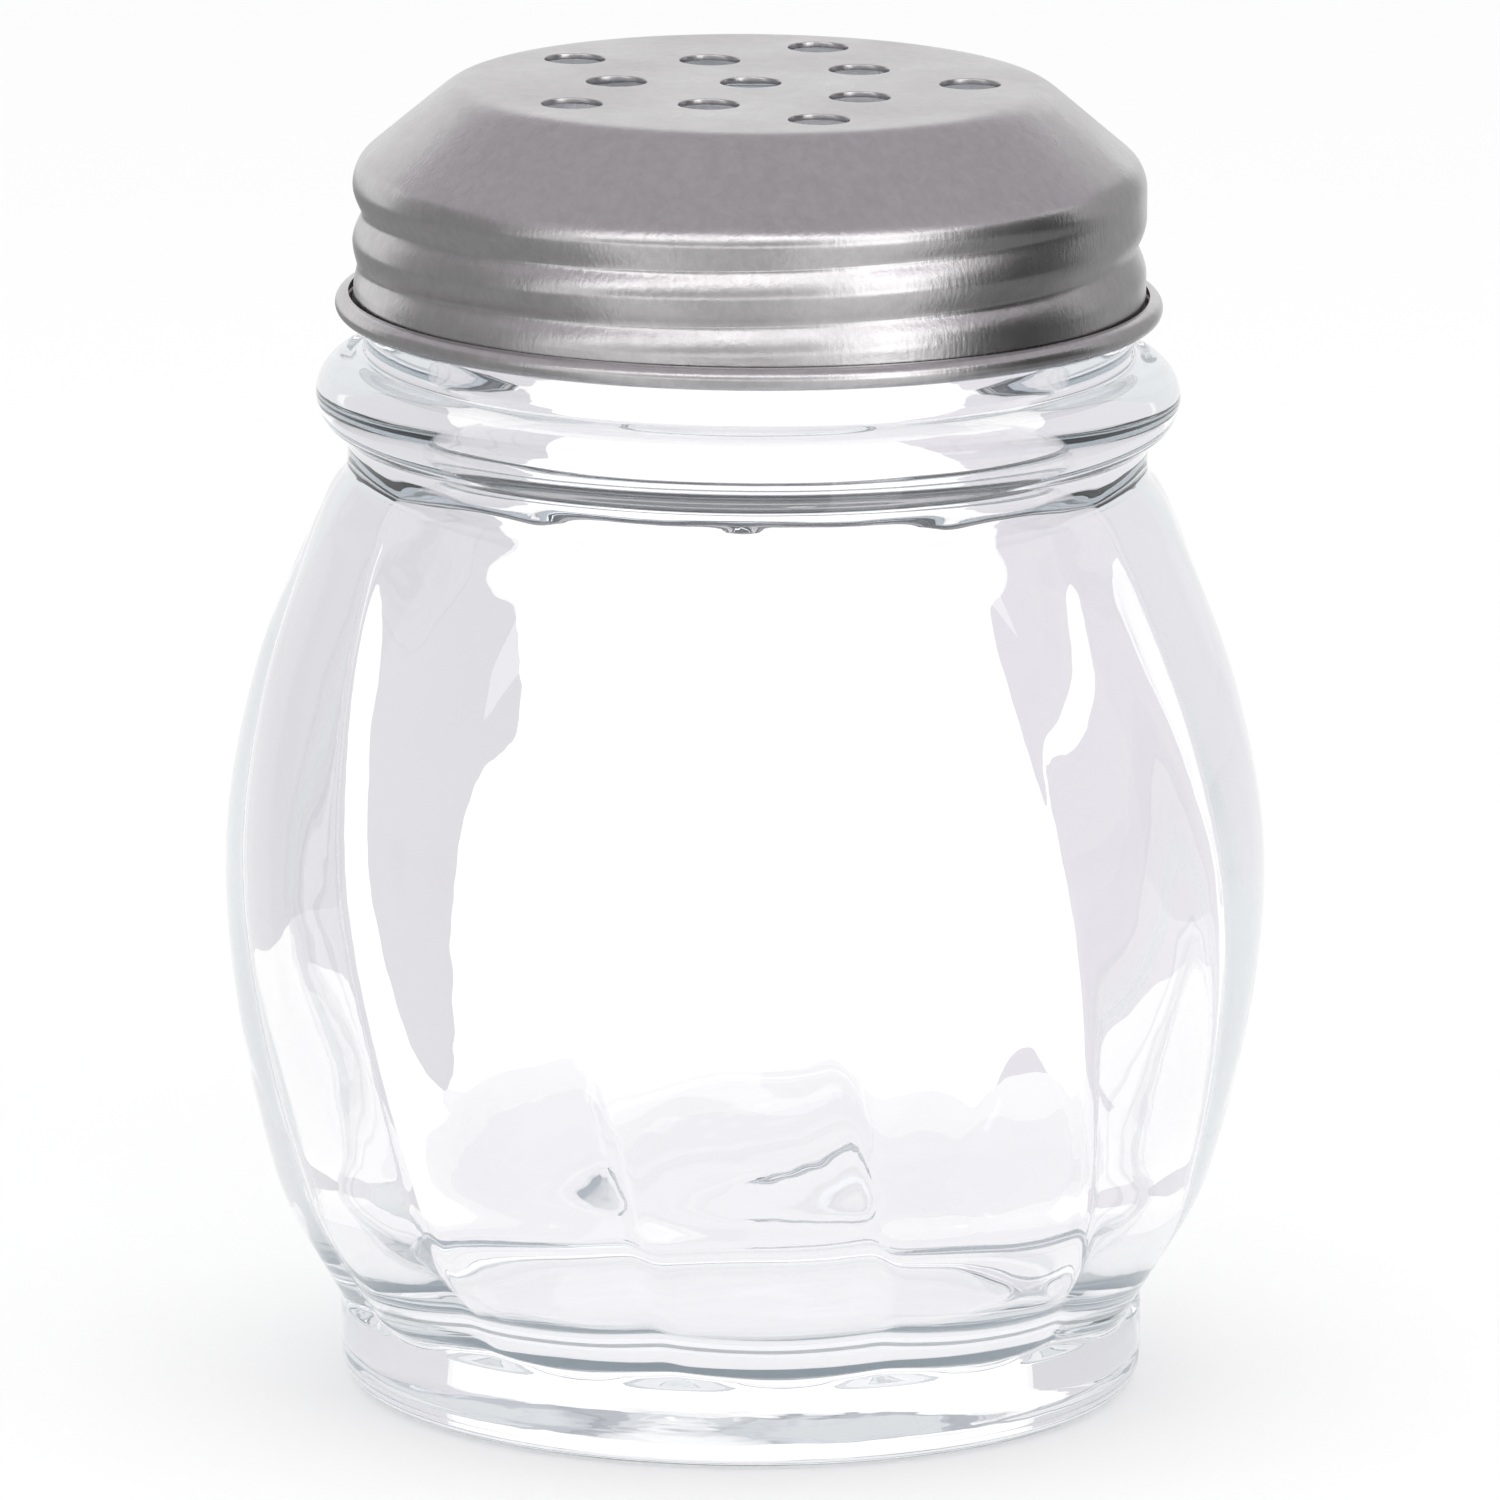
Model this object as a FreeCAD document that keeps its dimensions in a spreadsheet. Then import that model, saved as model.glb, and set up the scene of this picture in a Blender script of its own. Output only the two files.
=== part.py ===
import FreeCAD, Part
import math
import os

import Sketcher
from FreeCAD import Placement, Rotation, Vector

# Restaurant spice shaker: a pressed glass jar with a swirled, lobed body and a one-piece
# stainless steel shaker lid with a rolled thread. Millimetres, +Z up, origin at the centre
# of the face that the jar stands on.

UP = Vector(0, 0, 1)
ORIGIN = Vector(0, 0, 0)
FULL_TURN = 360.0

doc = FreeCAD.newDocument("spice_shaker")
sheet = doc.addObject("Spreadsheet::Sheet", "driving_dimensions")

DIMENSIONS = [
    # Glass foot: a plain round pedestal with a hollowed underside
    ("foot_radius", 32.0),
    ("foot_height", 6.8),
    ("foot_edge_round", 2.2),
    ("foot_top_rise", 0.5),
    ("foot_top_round", 0.45),
    ("foot_rim_width", 7.0),
    ("foot_hollow_depth", 0.9),
    # Swirled body, foot to neck: each level's rise over the one before, and its crest radius
    ("body_set_in", 0.1),
    ("body_flare_rise", 10.3),
    ("body_flare_radius", 37.4),
    ("belly_rise", 23.0),
    ("belly_radius", 41.6),
    ("body_upper_rise", 17.0),
    ("body_upper_radius", 39.4),
    ("body_shoulder_rise", 14.0),
    ("body_shoulder_swell", 2.0),
    ("lower_neck_rise", 3.2),
    ("lower_neck_swell", 1.4),
    ("lobe_count", 12),
    ("lobe_depth", 1.2),
    ("lobe_depth_at_neck", 0.3),
    ("lobe_fade_length", 16.9),
    ("swirl_angle", 22.0),
    ("swirl_start_angle", -98.5),
    # Glass walls
    ("wall_thickness", 3.4),
    ("floor_height", 8.0),
    ("floor_edge_round", 6.0),
    # Grip ring and neck
    ("ring_rise", 5.8),
    ("ring_set_out", 0.7),
    ("ring_section_radius", 3.1),
    ("neck_rise", 6.5),
    ("neck_clearance", 0.45),
    # Threaded glass finish
    ("finish_radius", 29.2),
    ("finish_wall", 3.8),
    ("finish_rise", 13.33),
    ("finish_edge_round", 1.2),
    ("thread_pitch", 4.4),
    ("thread_turns", 1.3),
    ("glass_thread_height", 0.8),
    ("glass_thread_section", 0.9),
    ("glass_thread_drop", 1.63),
    ("thread_crest_clearance", 0.3),
    ("rim_clearance", 0.3),
    # Lid: drawn sheet, its heights from its lower edge
    ("sheet_thickness", 0.45),
    ("lid_height", 18.6),
    ("lid_shoulder_width", 8.1),
    ("lid_shoulder_rise", 11.2),
    ("lid_shoulder_chamfer", 1.3),
    ("lid_shoulder_set_in", 0.5),
    ("lid_top_round", 3.5),
    ("lid_shoulder_round", 1.6),
    # Rolled thread of the lid
    ("lid_groove_depth", 0.65),
    ("lid_groove_section", 1.5),
    ("lid_groove_low_angle", 180.0),
    # Curled rim of the lid
    ("curl_section_radius", 0.9),
    ("curl_gap", 0.3),
    # Shaker holes: one in the middle and two rings of five
    ("hole_diameter", 4.8),
    ("outer_ring_margin", 6.0),
    ("outer_ring_holes", 5),
    ("outer_ring_angle", 0.0),
    ("hole_ring_spacing", 6.7),
    ("inner_ring_holes", 5),
    ("inner_ring_angle", 180.0),
]

# Level sections that the swirled body is lofted through
SWIRL_SECTIONS = 11

for row, (alias, value) in enumerate(DIMENSIONS, start=1):
    sheet.set("A%d" % row, alias.replace("_", " "))
    sheet.set("B%d" % row, str(value))
    sheet.setAlias("B%d" % row, alias)
doc.recompute()


def size(alias):
    """The value of one driving dimension."""
    return float(sheet.get(alias))


def cell(alias):
    """The expression that binds a property to one driving dimension."""
    return "driving_dimensions." + alias


# The lid's skirt clears the glass thread; its flat top and hole rings follow the skirt.
LID_SKIRT = " + ".join(
    cell(alias)
    for alias in (
        "finish_radius",
        "glass_thread_height",
        "thread_crest_clearance",
        "sheet_thickness",
        "lid_groove_depth",
    )
)
LID_FLAT = LID_SKIRT + " - " + cell("lid_shoulder_width")
LID_SHOULDER = LID_SKIRT + " - " + cell("lid_shoulder_set_in")
LID_SHOULDER_TOP = cell("lid_shoulder_rise") + " + " + cell("lid_shoulder_chamfer")
OUTER_RING = LID_FLAT + " - " + cell("outer_ring_margin")
INNER_RING = OUTER_RING + " - " + cell("hole_ring_spacing")


def polar(radius, degrees, height=0.0):
    """A point at a radius and an angle about the axis."""
    angle = math.radians(degrees)
    return Vector(radius * math.cos(angle), radius * math.sin(angle), height)


def feature(name, shape):
    """A document object that holds a shape made in code."""
    made = doc.addObject("Part::Feature", name)
    made.Shape = shape
    return made


# Sketched bodies


def origin_plane(body, role):
    """The body's own origin plane of that role."""
    return next(p for p in body.Origin.OriginFeatures if p.Role == role)


def sketch_on(body, role, name):
    """A sketch attached to an origin plane of its body."""
    made = body.newObject("Sketcher::SketchObject", name)
    made.AttachmentSupport = [(origin_plane(body, role), "")]
    made.MapMode = "FlatFace"
    return made


def place_vertex(sketch, line, along, expression):
    """Bind one coordinate of a line's start point, or lay it on the axis."""
    if expression == "0":
        axis = {"DistanceX": -2, "DistanceY": -1}[along]
        sketch.addConstraint(Sketcher.Constraint("PointOnObject", line, 1, axis))
        return
    start = sketch.Geometry[line].StartPoint
    value = start.x if along == "DistanceX" else start.y
    index = sketch.addConstraint(Sketcher.Constraint(along, -1, 1, line, 1, value))
    sketch.setExpression("Constraints[%d]" % index, expression)


def evaluate(expression):
    """The number that an expression of driving dimensions gives."""
    sheet.set("D1", "=" + expression.replace("driving_dimensions.", ""))
    doc.recompute([sheet])
    value = float(sheet.get("D1"))
    sheet.clear("D1")
    return value


def revolved_body(name, outline):
    """A body revolved about Z from an outline of (radius, height) expressions."""
    body = doc.addObject("PartDesign::Body", name)
    sketch = sketch_on(body, "XZ_Plane", name + "_outline")
    points = [Vector(evaluate(r), evaluate(z), 0) for r, z in outline]
    for index, start in enumerate(points):
        end = points[(index + 1) % len(points)]
        sketch.addGeometry(Part.LineSegment(start, end))
    for index in range(len(points)):
        following = (index + 1) % len(points)
        sketch.addConstraint(Sketcher.Constraint("Coincident", index, 2, following, 1))
    for index, (radius, height) in enumerate(outline):
        place_vertex(sketch, index, "DistanceX", radius)
        place_vertex(sketch, index, "DistanceY", height)
    turned = body.newObject("PartDesign::Revolution", name + "_turned")
    turned.Profile = sketch
    turned.ReferenceAxis = (sketch, ["V_Axis"])
    turned.Angle = FULL_TURN
    doc.recompute()
    return body


def circle_edges(shape, radius, height):
    """The names of the circular edges with that radius at that height."""
    names = []
    for index, edge in enumerate(shape.Edges, start=1):
        curve = edge.Curve
        if not isinstance(curve, Part.Circle):
            continue
        if abs(curve.Radius - radius) < 0.01 and abs(curve.Center.z - height) < 0.01:
            names.append("Edge%d" % index)
    return names


def round_edge(body, name, radius, height, rounding):
    """A fillet on the body's circular edge, with an expression as its radius."""
    base = body.Tip
    fillet = body.newObject("PartDesign::Fillet", name)
    fillet.Base = (base, circle_edges(base.Shape, evaluate(radius), evaluate(height)))
    fillet.setExpression("Radius", rounding)
    doc.recompute()
    return fillet


def hole_pattern(body, name, ring_radius=None, ring_angle=None, count=None):
    """One hole pocketed through the lid's form, and its copies about the axis."""
    sketch = sketch_on(body, "XY_Plane", name + "_sketch")
    turned = size(ring_angle) if ring_angle else 0.0
    sketch.AttachmentOffset = Placement(ORIGIN, Rotation(UP, turned))
    sketch.setExpression(".AttachmentOffset.Base.z", cell("lid_height"))
    reach = evaluate(ring_radius) if ring_radius else 0.0
    sketch.addGeometry(Part.Circle(Vector(reach, 0, 0), UP, size("hole_diameter") / 2))
    if ring_radius:
        across = sketch.addConstraint(Sketcher.Constraint("DistanceX", -1, 1, 0, 3, reach))
        sketch.setExpression("Constraints[%d]" % across, ring_radius)
        sketch.addConstraint(Sketcher.Constraint("PointOnObject", 0, 3, -1))
        sketch.setExpression(
            ".AttachmentOffset.Rotation.Angle", cell(ring_angle) + " * 1 deg"
        )
    else:
        sketch.addConstraint(Sketcher.Constraint("Coincident", 0, 3, -1, 1))
    width = sketch.addConstraint(
        Sketcher.Constraint("Diameter", 0, size("hole_diameter"))
    )
    sketch.setExpression("Constraints[%d]" % width, cell("hole_diameter"))
    pocket = body.newObject("PartDesign::Pocket", name)
    pocket.Profile = sketch
    pocket.Type = "ThroughAll"
    doc.recompute()
    if not count:
        return pocket
    pattern = body.newObject("PartDesign::PolarPattern", name + "_ring")
    pattern.Originals = [pocket]
    pattern.Axis = (sketch, ["N_Axis"])
    pattern.Angle = FULL_TURN
    pattern.setExpression("Occurrences", cell(count))
    body.Tip = pattern
    doc.recompute()
    return pattern


# Levels and radii that the glass and the lid share


def body_stations():
    """The swirled body's crest radii and heights, foot to neck."""
    lower_neck = neck_radius() + size("lower_neck_swell")
    radii = [
        size("foot_radius") - size("body_set_in"),
        size("body_flare_radius"),
        size("belly_radius"),
        size("body_upper_radius"),
        lower_neck + size("body_shoulder_swell"),
        lower_neck,
    ]
    heights = [size("foot_height")]
    for rise in (
        "body_flare_rise",
        "belly_rise",
        "body_upper_rise",
        "body_shoulder_rise",
        "lower_neck_rise",
    ):
        heights.append(heights[-1] + size(rise))
    return list(zip(radii, heights))


def ring_height():
    """The height of the grip ring's centre."""
    return body_stations()[-1][1] + size("ring_rise")


def finish_top():
    """The height of the glass rim."""
    return ring_height() + size("neck_rise") + size("finish_rise")


def neck_radius():
    """The neck's radius, just inside the lid's skirt."""
    return evaluate(LID_SKIRT) - size("sheet_thickness") - size("neck_clearance")


def mouth_radius():
    """The radius of the jar's mouth."""
    return size("finish_radius") - size("finish_wall")


def thread_low_height():
    """The height at which the glass thread starts, so that it ends below the rim."""
    rise = size("thread_pitch") * size("thread_turns")
    return finish_top() - size("glass_thread_drop") - rise


def groove_low_height():
    """The height at which the lid's groove starts, half a pitch under the glass thread."""
    return thread_low_height() - size("thread_pitch") / 2


def inset(points, distance):
    """A polyline moved to the left of its direction, with mitred corners."""
    normals = []
    for (low_x, low_z), (high_x, high_z) in zip(points, points[1:]):
        run = math.hypot(high_x - low_x, high_z - low_z)
        normals.append(((low_z - high_z) / run, (high_x - low_x) / run))
    moved = []
    for index, (radius, height) in enumerate(points):
        before = normals[max(0, index - 1)]
        after = normals[min(len(normals) - 1, index)]
        share = distance / (1 + before[0] * after[0] + before[1] * after[1])
        moved.append(
            (
                radius + share * (before[0] + after[0]),
                height + share * (before[1] + after[1]),
            )
        )
    return moved


def lid_inner_line():
    """The inner face of the lid's sheet, from its lower edge up to the axis."""
    skirt = evaluate(LID_SKIRT)
    top = size("lid_height")
    outer_line = [
        (skirt, size("curl_section_radius")),
        (skirt, size("lid_shoulder_rise")),
        (evaluate(LID_SHOULDER), evaluate(LID_SHOULDER_TOP)),
        (evaluate(LID_FLAT), top),
        (0, top),
    ]
    return inset(outer_line, size("sheet_thickness"))


def lid_base():
    """The height of the lid's lower edge, where its shoulder just clears the glass rim."""
    shoulder, flat = lid_inner_line()[2:4]
    rounding = size("finish_edge_round")
    slope = math.hypot(shoulder[0] - flat[0], flat[1] - shoulder[1])
    out = (flat[1] - shoulder[1]) / slope
    up = (shoulder[0] - flat[0]) / slope
    corner_radius = size("finish_radius") - rounding
    away = rounding + size("rim_clearance") + out * (corner_radius - shoulder[0])
    corner_in_lid = shoulder[1] - away / up
    return finish_top() - rounding - corner_in_lid


# Helical forms


def helix_pipe(radius, section, turns, low_angle, low_height, runout):
    """A round pipe along a right-hand helix, with ends that run straight on."""
    pitch = size("thread_pitch")
    path = Part.makeHelix(pitch, pitch * turns, radius)
    path.rotate(ORIGIN, UP, low_angle)
    path.translate(Vector(0, 0, low_height))
    first = path.Edges[0]
    last = path.Edges[-1]
    start = first.valueAt(first.FirstParameter)
    start_tangent = first.tangentAt(first.FirstParameter)
    end = last.valueAt(last.LastParameter)
    end_tangent = last.tangentAt(last.LastParameter)
    ring = Part.Wire(Part.makeCircle(section, start, start_tangent))
    pipe = path.makePipeShell([ring], True, True)
    if not runout:
        caps = [Part.makeSphere(section, start), Part.makeSphere(section, end)]
    else:
        caps = [
            Part.makeCylinder(section, runout, start, start_tangent * -1),
            Part.makeCylinder(section, runout, end, end_tangent),
        ]
    return pipe, caps


def groove_tools(extra):
    """The tools that press the lid's helical groove, thickened by extra, in its frame."""
    section = size("lid_groove_section") + extra
    depth = size("lid_groove_depth")
    centre = evaluate(LID_SKIRT) - depth + size("lid_groove_section")
    runout = 2 * math.sqrt(centre * size("lid_groove_section"))
    pipe, ends = helix_pipe(
        centre,
        section,
        size("thread_turns"),
        size("lid_groove_low_angle"),
        groove_low_height() - lid_base(),
        runout,
    )
    return [pipe] + ends


# Glass jar


def body_curve():
    """The body's upright outline over its crests, a smooth curve."""
    curve = Part.BSplineCurve()
    curve.interpolate([Vector(r, 0, z) for r, z in body_stations()])
    return curve


def lobed_section(crest, depth, turned, height):
    """A closed wire of convex lobes that meet in creases."""
    count = int(size("lobe_count"))
    step = FULL_TURN / count
    arcs = []
    for index in range(count):
        start = turned + index * step
        arcs.append(
            Part.Arc(
                polar(crest - depth, start, height),
                polar(crest, start + step / 2, height),
                polar(crest - depth, start + step, height),
            ).toShape()
        )
    return Part.Wire(arcs)


def swirled_body():
    """The lobed body, its sections turned evenly from foot to neck."""
    curve = body_curve()
    sections = []
    bottom = body_stations()[0][1]
    top = body_stations()[-1][1]
    fade = size("lobe_depth") - size("lobe_depth_at_neck")
    for index in range(SWIRL_SECTIONS):
        share = index / (SWIRL_SECTIONS - 1)
        height = bottom + share * (top - bottom)
        near_neck = max(0.0, 1 - (top - height) / size("lobe_fade_length"))
        depth = size("lobe_depth") - near_neck * fade
        turned = size("swirl_start_angle") - share * size("swirl_angle")
        crest = radius_at(curve, height)
        sections.append(lobed_section(crest, depth, turned, height))
    return Part.makeLoft(sections, True, False)


def radius_at(curve, height):
    """The radius of the upright outline at a height."""
    level = Part.Plane(Vector(0, 0, height), UP)
    return curve.intersect(level)[0][0].X


def turned_solid(edges):
    """A solid of revolution about Z from edges that close on the axis."""
    face = Part.Face(Part.Wire(Part.__sortEdges__(edges)))
    return face.revolve(ORIGIN, UP, FULL_TURN)


def line(start, end):
    """A straight edge in the upright plane between two (radius, height) points."""
    return Part.makeLine(Vector(start[0], 0, start[1]), Vector(end[0], 0, end[1]))


def cavity():
    """The jar's hollow: a rounded floor, the drawn-in body and the mouth."""
    wall = size("wall_thickness")
    floor = size("floor_height")
    corner = size("floor_edge_round")
    mouth = mouth_radius()
    outer = body_curve()
    belly, upper, shoulder = body_stations()[2:5]
    low = floor + corner
    high = shoulder[1] - wall
    low_radius = radius_at(outer, low) - wall - size("lobe_depth")
    high_radius = radius_at(outer, high) - wall - size("lobe_depth")
    floor_radius = low_radius - corner
    straight = ring_height() - wall
    curve = Part.BSplineCurve()
    curve.interpolate(
        [
            Vector(floor_radius, 0, floor),
            Vector(low_radius, 0, low),
            Vector(belly[0] - wall, 0, belly[1]),
            Vector(upper[0] - wall, 0, upper[1]),
            Vector(high_radius, 0, high),
            Vector(mouth, 0, straight),
        ],
        InitialTangent=Vector(1, 0, 0),
        FinalTangent=Vector(0, 0, 1),
    )
    above = finish_top() + wall
    edges = [
        line((0, floor), (floor_radius, floor)),
        curve.toShape(),
        line((mouth, straight), (mouth, above)),
        line((mouth, above), (0, above)),
        line((0, above), (0, floor)),
    ]
    return turned_solid(edges)


def rounded(shape, rounding, radius, height):
    """The shape with its circular edges at that place rounded."""
    names = circle_edges(shape, radius, height)
    edges = [shape.Edges[int(name[4:]) - 1] for name in names]
    return shape.makeFillet(rounding, edges)


def glass_foot():
    """The round foot, with its lower edge rounded and its underside hollowed."""
    radius = size("foot_radius")
    top = size("foot_height") + size("foot_top_rise")
    rim = Part.makeCylinder(radius, top)
    rim = rounded(rim, size("foot_edge_round"), radius, 0)
    rim = rounded(rim, size("foot_top_round"), radius, top)
    depth = size("foot_hollow_depth")
    wide = radius - size("foot_rim_width")
    hollow = Part.makeCone(wide, wide - 2 * depth, depth)
    return rim.cut(hollow)


def glass_neck():
    """The lower neck, the grip ring, the neck and the plain finish."""
    shoulder, lower_neck = body_stations()[4:]
    middle = Vector(0, 0, ring_height())
    lower = Part.makeCylinder(
        lower_neck[0] - size("lobe_depth_at_neck") / 2,
        middle.z - shoulder[1],
        Vector(0, 0, shoulder[1]),
    )
    ring = Part.makeTorus(
        neck_radius() + size("ring_set_out"), size("ring_section_radius"), middle
    )
    upper = Part.makeCylinder(neck_radius(), size("neck_rise"), middle)
    finish = Part.makeCylinder(size("finish_radius"), finish_top() - middle.z, middle)
    finish = rounded(
        finish, size("finish_edge_round"), size("finish_radius"), finish_top()
    )
    return lower.fuse([ring, upper, finish])


def glass_thread():
    """The glass thread, just over the lid's rolled thread and clear inside it."""
    section = size("glass_thread_section")
    pipe, ends = helix_pipe(
        size("finish_radius") + size("glass_thread_height") - section,
        section,
        size("thread_turns"),
        size("lid_groove_low_angle"),
        thread_low_height(),
        0,
    )
    return [pipe] + ends


def glass_jar():
    """The jar, one piece of pressed glass."""
    outside = swirled_body().fuse([glass_foot(), glass_neck()])
    outside = outside.fuse(glass_thread())
    hollow = cavity()
    return outside.cut(hollow)


# Shaker lid


def lid_outside():
    """The lid's outer form, solid, with its shaker holes, on its own lower edge."""
    body = revolved_body(
        "lid_outer_form",
        [
            ("0", cell("curl_section_radius")),
            (LID_SKIRT, cell("curl_section_radius")),
            (LID_SKIRT, cell("lid_shoulder_rise")),
            (LID_SHOULDER, LID_SHOULDER_TOP),
            (LID_FLAT, cell("lid_height")),
            ("0", cell("lid_height")),
        ],
    )
    round_edge(
        body, "lid_top_edge", LID_FLAT, cell("lid_height"), cell("lid_top_round")
    )
    round_edge(
        body,
        "lid_shoulder_edge",
        LID_SHOULDER,
        LID_SHOULDER_TOP,
        cell("lid_shoulder_round"),
    )
    hole_pattern(body, "middle_hole")
    hole_pattern(body, "inner_holes", INNER_RING, "inner_ring_angle", "inner_ring_holes")
    hole_pattern(body, "outer_holes", OUTER_RING, "outer_ring_angle", "outer_ring_holes")
    return body


def lid_inside():
    """The lid's inner form, one sheet thickness inside the outer one."""
    sheet_thickness = size("sheet_thickness")
    points = lid_inner_line()
    low = size("curl_section_radius") - sheet_thickness
    outline = [(points[0][0], low)] + points[1:] + [(0, low)]
    edges = [line(a, b) for a, b in zip(outline, outline[1:] + outline[:1])]
    form = turned_solid(edges)
    form = rounded(form, size("lid_top_round") - sheet_thickness, *points[3])
    return rounded(form, size("lid_shoulder_round") - sheet_thickness, *points[2])


def curled_rim():
    """The curl: the skirt's edge rolled down, out and back up to a small gap."""
    sheet_thickness = size("sheet_thickness")
    outside = size("curl_section_radius")
    inside = outside - sheet_thickness
    skirt_inside = evaluate(LID_SKIRT) - sheet_thickness
    centre = Vector(skirt_inside + outside, 0, outside)
    end_angle = math.degrees(math.acos((size("curl_gap") - inside) / outside))
    rolled = FULL_TURN - 180 + end_angle

    def on_section(radius, degrees):
        angle = math.radians(degrees)
        return centre + Vector(radius * math.cos(angle), 0, radius * math.sin(angle))

    def section_arc(radius):
        return Part.Arc(
            on_section(radius, 180),
            on_section(radius, 180 + rolled / 2),
            on_section(radius, 180 + rolled),
        ).toShape()

    tip = Part.makeLine(on_section(inside, end_angle), on_section(outside, end_angle))
    root = Part.makeLine(on_section(inside, 180), on_section(outside, 180))
    return turned_solid([section_arc(outside), tip, section_arc(inside), root])


def shaker_lid():
    """The lid, drawn and rolled from one sheet, set on the jar."""
    grooved = lid_outside().Shape.cut(groove_tools(0.0))
    ridged = lid_inside().cut(groove_tools(size("sheet_thickness")))
    lid = grooved.cut(ridged).fuse(curled_rim())
    lid.translate(UP * lid_base())
    return lid


def check(label, shape):
    """Stop where a sub-part's shape is missing, broken or in pieces."""
    if shape.isNull() or not shape.isValid() or len(shape.Solids) != 1:
        raise RuntimeError(
            "%s: valid %s, solids %d" % (label, shape.isValid(), len(shape.Solids))
        )
    print(label, "volume", round(shape.Volume, 1), "mm3", shape.BoundBox)


jar = feature("glass_jar", glass_jar())
lid = feature("shaker_lid", shaker_lid())
doc.recompute()

failed = [o.Name for o in doc.Objects if {"Invalid", "Error"} & set(o.State)]
if failed:
    raise RuntimeError("failed objects: %s" % failed)

os.makedirs("parts", exist_ok=True)
for piece in (jar, lid):
    check(piece.Label, piece.Shape)
    piece.Shape.exportStep("parts/%s.step" % piece.Label)
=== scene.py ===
import math

import bmesh
import bpy
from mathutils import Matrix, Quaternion, Vector, noise


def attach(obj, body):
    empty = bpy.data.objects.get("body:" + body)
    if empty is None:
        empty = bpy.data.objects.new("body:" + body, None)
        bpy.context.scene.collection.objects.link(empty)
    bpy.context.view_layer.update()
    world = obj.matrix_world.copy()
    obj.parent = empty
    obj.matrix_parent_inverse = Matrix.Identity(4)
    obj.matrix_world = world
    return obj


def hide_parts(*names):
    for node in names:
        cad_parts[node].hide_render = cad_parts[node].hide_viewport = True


# A restaurant spice shaker: a clear pressed glass jar with swirled lobes, and a
# perforated satin stainless steel screw lid. Lengths are in millimetres until a mesh
# is made.

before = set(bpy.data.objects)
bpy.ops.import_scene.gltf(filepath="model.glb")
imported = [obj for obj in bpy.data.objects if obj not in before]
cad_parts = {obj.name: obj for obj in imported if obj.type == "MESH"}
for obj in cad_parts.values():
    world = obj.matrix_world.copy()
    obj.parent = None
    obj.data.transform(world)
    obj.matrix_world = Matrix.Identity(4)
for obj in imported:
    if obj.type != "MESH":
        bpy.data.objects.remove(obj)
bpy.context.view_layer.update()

MM = 0.001
TURN = 2 * math.pi

# Jar: foot
FOOT_RADIUS = 32.0
FOOT_HEIGHT = 6.8
FOOT_EDGE_ROUND = 2.2
FOOT_HOLLOW_RADIUS = 25.0
FOOT_HOLLOW_DEPTH = 0.9

# Jar: swirled body, as (height, radius over the lobes) from foot to lower neck
BODY_STATIONS = [
    (6.8, 31.9),
    (17.1, 37.4),
    (40.1, 41.5),
    (57.1, 39.35),
    (71.1, 33.9),
    (74.3, 31.9),
]
BELLY_RADIUS = 41.5
LOBES = 12
LOBE_DEPTH = 1.2
LOBE_FADE_HEIGHT = 58.0
SWIRL = math.radians(22.0)
SWIRL_START = math.radians(-98.5)
CREASE_SOFTNESS = 0.07

# Jar: unevenness of the pressed surface, as (depth, size, seed)
OUTER_RIPPLE = (0.05, 14, 3)
INNER_RIPPLE = (0.12, 15, 11)
CALM_FLOOR_RADIUS = 20

# Jar: ring, neck and threaded finish
LOWER_NECK_RADIUS = 31.75
RING_CENTRE_RADIUS = 31.2
RING_SECTION_RADIUS = 3.1
RING_HEIGHT = 80.1
NECK_RADIUS = 30.5
NECK_TOP = 86.6
FINISH_RADIUS = 29.2
FINISH_TOP = 99.93
MOUTH_RADIUS = 25.4
FINISH_EDGE_ROUND = 1.2
GLASS_THREAD_HEIGHT = 0.75
GLASS_THREAD_HALF_WIDTH = 1.2

# Jar: inside
FLOOR_HEIGHT = 8.0
FLOOR_SWEEP_TOP = 21.0
FLOOR_SWEEP_WIDTH = 12.0
INNER_STATIONS = [
    (21.0, 34.4),
    (40.1, 38.1),
    (57.1, 35.9),
    (67.7, 30.9),
    (73.0, 27.4),
    (76.7, 25.6),
]
INNER_LOBE_SHARE = 0.3

# Jar: mesh, as steps along the outline and columns round the axis
OUTER_STEP = 0.45
INNER_STEP = 0.6
COLUMNS_PER_LOBE = 36

# Lid: drawn sheet
SHEET = 0.45
LID_TOP = 105.0
LID_DISC_RADIUS = 21.0
LID_FLAT_RADIUS = 23.3
LID_SHOULDER_HEIGHT = 97.6
LID_SHOULDER_CHAMFER = 1.3
LID_SKIRT_RADIUS = 31.4
LID_SLOPE = 38.8
LID_TOP_ROUND = 3.3
LID_TOP_TANGENT = 1.16
CURL_HEIGHT = 87.3
CURL_SECTION_RADIUS = 0.9
CURL_END_ANGLE = 99.6

# Lid: rolled thread
THREAD_PITCH = 4.4
THREAD_TURNS = 1.38
GROOVE_DEPTH = 0.75
GROOVE_HALF_WIDTH = 2.2
GROOVE_LOW_HEIGHT = 90.1
GROOVE_LOW_TURN = 0.5
GROOVE_FADE_TURN = 0.07
ROOT_SOFTNESS = 0.08

# Lid: mesh
LID_COLUMNS = 360
HOLE_SIDES = 48
HOLE_EDGE_ROUND = 0.12
SHARP_ANGLE = math.radians(38)

# Lid: shaker holes, as (ring radius, angle of the first hole, how many)
HOLE_RADIUS = 2.4
HOLE_RINGS = [(0.0, 0.0, 1), (10.6, math.pi, 5), (17.3, 0.0, 5)]


# Colours and small mesh helpers


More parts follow.
